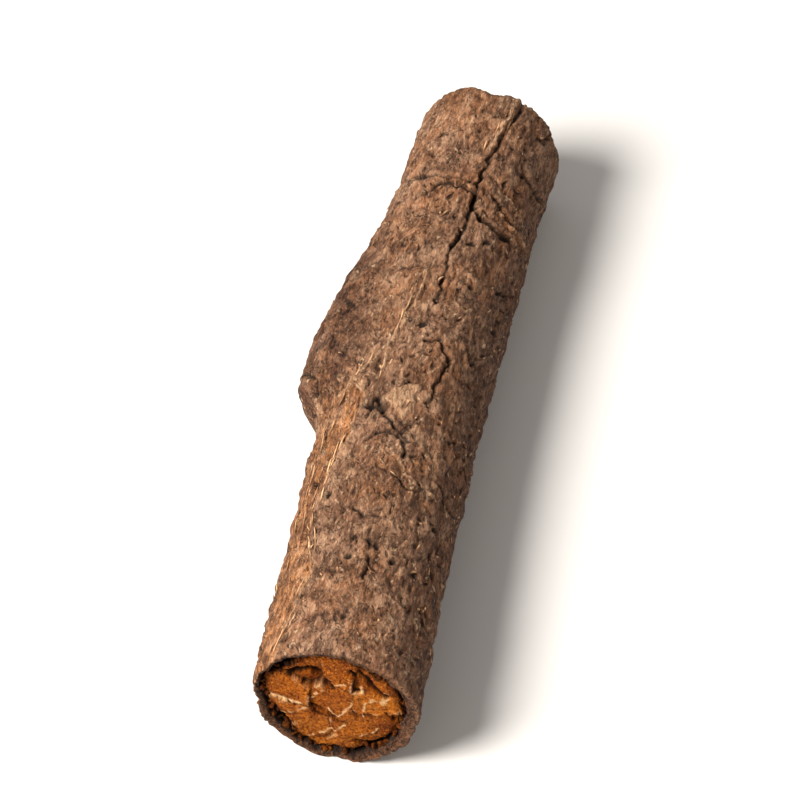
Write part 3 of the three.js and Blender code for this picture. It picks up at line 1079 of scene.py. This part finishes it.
def bark_finish():
    finish = Finish("dry_bark")
    on = bark_patterns(finish)
    relief = 0.42 * on.grain + 0.6 * on.mottle + 0.5 * on.streak * on.worn + 0.2 * on.plate + 0.2 * on.chip
    relief = relief - 0.45 * on.crease - 0.55 * on.crack - 0.25 * on.scratch
    relief = relief - 0.3 * on.pit * (1 - on.pale) + 0.26 * on.fleck_and_painted_glint
    return finish.look(bark_colour(finish, on), 0.9 - 0.25 * on.grain, relief)


def wood_finish():
    finish = Finish("cut_wood")
    fibre = finish.noise(finish.place(1, 0.25, 1), 3.2, 5, 0.7, 0.4)
    blotch = finish.noise(finish.place(1, 1, 1), 0.4, 4, 0.6)
    nick = finish.noise(finish.place(1, 1, 1, shift=7), 1.5, 3, 0.6, 0.8).line(0.018)
    painted_shade, pale, tone = (finish.mark(name) for name in WOOD_MARKS)
    light_plate = finish.mix(blotch.between(0.4, 0.6), srgb(160, 84, 16), srgb(190, 110, 30))
    torn = finish.mix(fibre.between(0.35, 0.6), srgb(196, 134, 78), srgb(240, 202, 150))
    colour = finish.layered(
        finish.mix(blotch.between(0.36, 0.64), srgb(120, 55, 9), srgb(158, 81, 16)),
        (tone * 0.7, light_plate),
        (fibre.between(0.49, 0.37) * 0.9, srgb(66, 30, 6)),
        (fibre.between(0.54, 0.66) * 0.65, srgb(214, 142, 60)),
        # Nicks are painted darker: painted shade in them.
        (nick * 0.6, srgb(70, 30, 9)),
        # Pale torn edges, partly painted highlights on the higher plates' brinks.
        (pale * 0.75, torn),
        # Painted shade in the slots, below brinks, on the crumbled edge, the sides and the crumbs.
        (painted_shade * 0.92, srgb(32, 17, 9)),
    )
    relief = 0.4 * fibre + 0.25 * blotch - 0.12 * nick
    return finish.look(colour, 0.85 - 0.2 * fibre, relief, specular=0.08)


def sliver_finish():
    finish = Finish("torn_fibre")
    fibre = finish.noise(finish.place(1, 0.3, 1), 3.0, 3, 0.6)
    colour = finish.layered(
        finish.mix(finish.mark("tint").between(0.1, 1.0), srgb(118, 80, 55), srgb(232, 184, 136)),
        (fibre.between(0.5, 0.35) * 0.6, srgb(96, 64, 44)),
    )
    return finish.look(colour, 0.8, 0.1 * fibre)


# The pieces. Crumbs have a count and a seed of their own.
SAWN_CRUMBS = (170, 3)
WORN_CRUMBS = (130, 4)
wood, torn = wood_finish(), sliver_finish()
pieces = {
    "root_bark": (bark_shape(), bark_finish(), "bark"),
    "bark_slivers": (sliver_shape(slivers + lay_fibres()), torn, "bark"),
    "sawn_wood": (wood_shape(SAWN_END), wood, "cut_wood"),
    "worn_wood": (wood_shape(WORN_END), wood, "cut_wood"),
    "sawn_crumbs": (crumb_shape(SAWN_END, *SAWN_CRUMBS), wood, "cut_wood"),
    "worn_crumbs": (crumb_shape(WORN_END, *WORN_CRUMBS), wood, "cut_wood"),
}
for name, (shape, material, slot) in pieces.items():
    finished(name, shape, material)

# The studio: a pale floor, a large key light from the left, a weak fill, and the camera looking down.
FLOOR_SIZE = 3.0
MIDDLE = Vector((0, 0, 0.010))  # of the root, where the lights and the camera point
KEY_LIGHT = {"place": (-0.50, -0.41, 0.64), "size": 0.45, "watts": 16.5, "colour": (1.0, 0.96, 0.91)}
FILL_LIGHT = {"place": (0.5, -0.7, 0.5), "size": 0.6, "watts": 0.5, "colour": (1.0, 0.93, 0.85)}
SURROUNDINGS = {"Color": (1.0, 0.95, 0.9, 1), "Strength": 0.34}
CAMERA_ELEVATION = 48
CAMERA_HEADING = 11.7
CAMERA_DISTANCE = 0.65
LENS = 240


def studio_floor():
    shape = bmesh.new()
    bmesh.ops.create_grid(shape, x_segments=1, y_segments=1, size=FLOOR_SIZE / 2)
    mesh = bpy.data.meshes.new("floor")
    shape.to_mesh(mesh)
    shape.free()
    finish = Finish("pale_floor")
    finish.feed(finish.shader.inputs["Base Color"], srgb(236, 235, 233))
    finish.feed(finish.shader.inputs["Roughness"], 0.7)
    mesh.materials.append(finish.material)
    floor = bpy.data.objects.new("floor", mesh)
    bpy.context.scene.collection.objects.link(floor)


def aimed(thing, name, place):
    """Adds a light or a camera at a place, turned to look at the root's middle."""
    added = bpy.data.objects.new(name, thing)
    added.location = place
    added.rotation_euler = (MIDDLE - Vector(place)).to_track_quat("-Z", "Y").to_euler()
    bpy.context.scene.collection.objects.link(added)
    return added


def area_light(name, place, size, watts, colour):
    light = bpy.data.lights.new(name, "AREA")
    light.shape = "DISK"
    light.size, light.energy, light.color = size, watts, colour
    aimed(light, name, place)


def surroundings():
    world = bpy.data.worlds.new("studio")
    world.use_nodes = True
    for name, value in SURROUNDINGS.items():
        world.node_tree.nodes["Background"].inputs[name].default_value = value
    return world


def camera_above():
    lens = bpy.data.cameras.new("camera")
    lens.lens = LENS
    lens.clip_start = 0.01
    elevation, heading = math.radians(CAMERA_ELEVATION), math.radians(CAMERA_HEADING)
    level = math.cos(elevation)
    back = Vector((math.sin(heading) * level, -math.cos(heading) * level, math.sin(elevation)))
    return aimed(lens, "camera", MIDDLE + back * CAMERA_DISTANCE)


studio_floor()
area_light("key", **KEY_LIGHT)
area_light("fill", **FILL_LIGHT)
scene = bpy.context.scene
scene.world = surroundings()
scene.view_settings.view_transform = "Standard"
scene.camera = camera_above()
